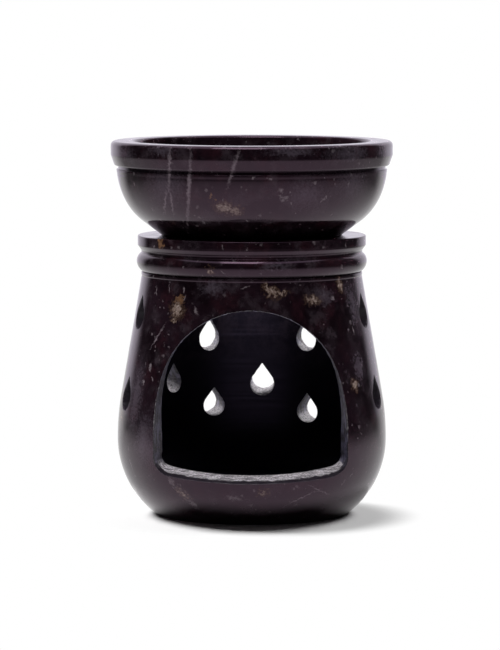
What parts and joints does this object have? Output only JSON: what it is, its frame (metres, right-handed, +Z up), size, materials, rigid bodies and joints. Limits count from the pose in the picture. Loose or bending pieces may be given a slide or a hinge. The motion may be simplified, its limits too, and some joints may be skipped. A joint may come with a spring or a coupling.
{
  "type": "oil burner",
  "caption": "Turned stone oil burner: a hollow body with an arched candle window and drop-shaped vents, and a loose dish on top that holds the oil.",
  "frame": {"origin": "middle of the foot, on the surface that the burner stands on", "axes": "+Z up along the turning axis, the candle window faces -Y, +X to the right as seen from the window"},
  "size_m": [0.083, 0.083, 0.1102],
  "materials": {
    "soapstone": "polished"
  },
  "bodies": {
    "body": {"burner_body": "soapstone"},
    "dish": {"oil_dish": "soapstone"}
  },
  "joints": [
    {"name": "dish_lift", "type": "slide", "parent": "body", "child": "dish", "axis": [0, 0, 1], "range_m": [0, 0.04]}
  ]
}
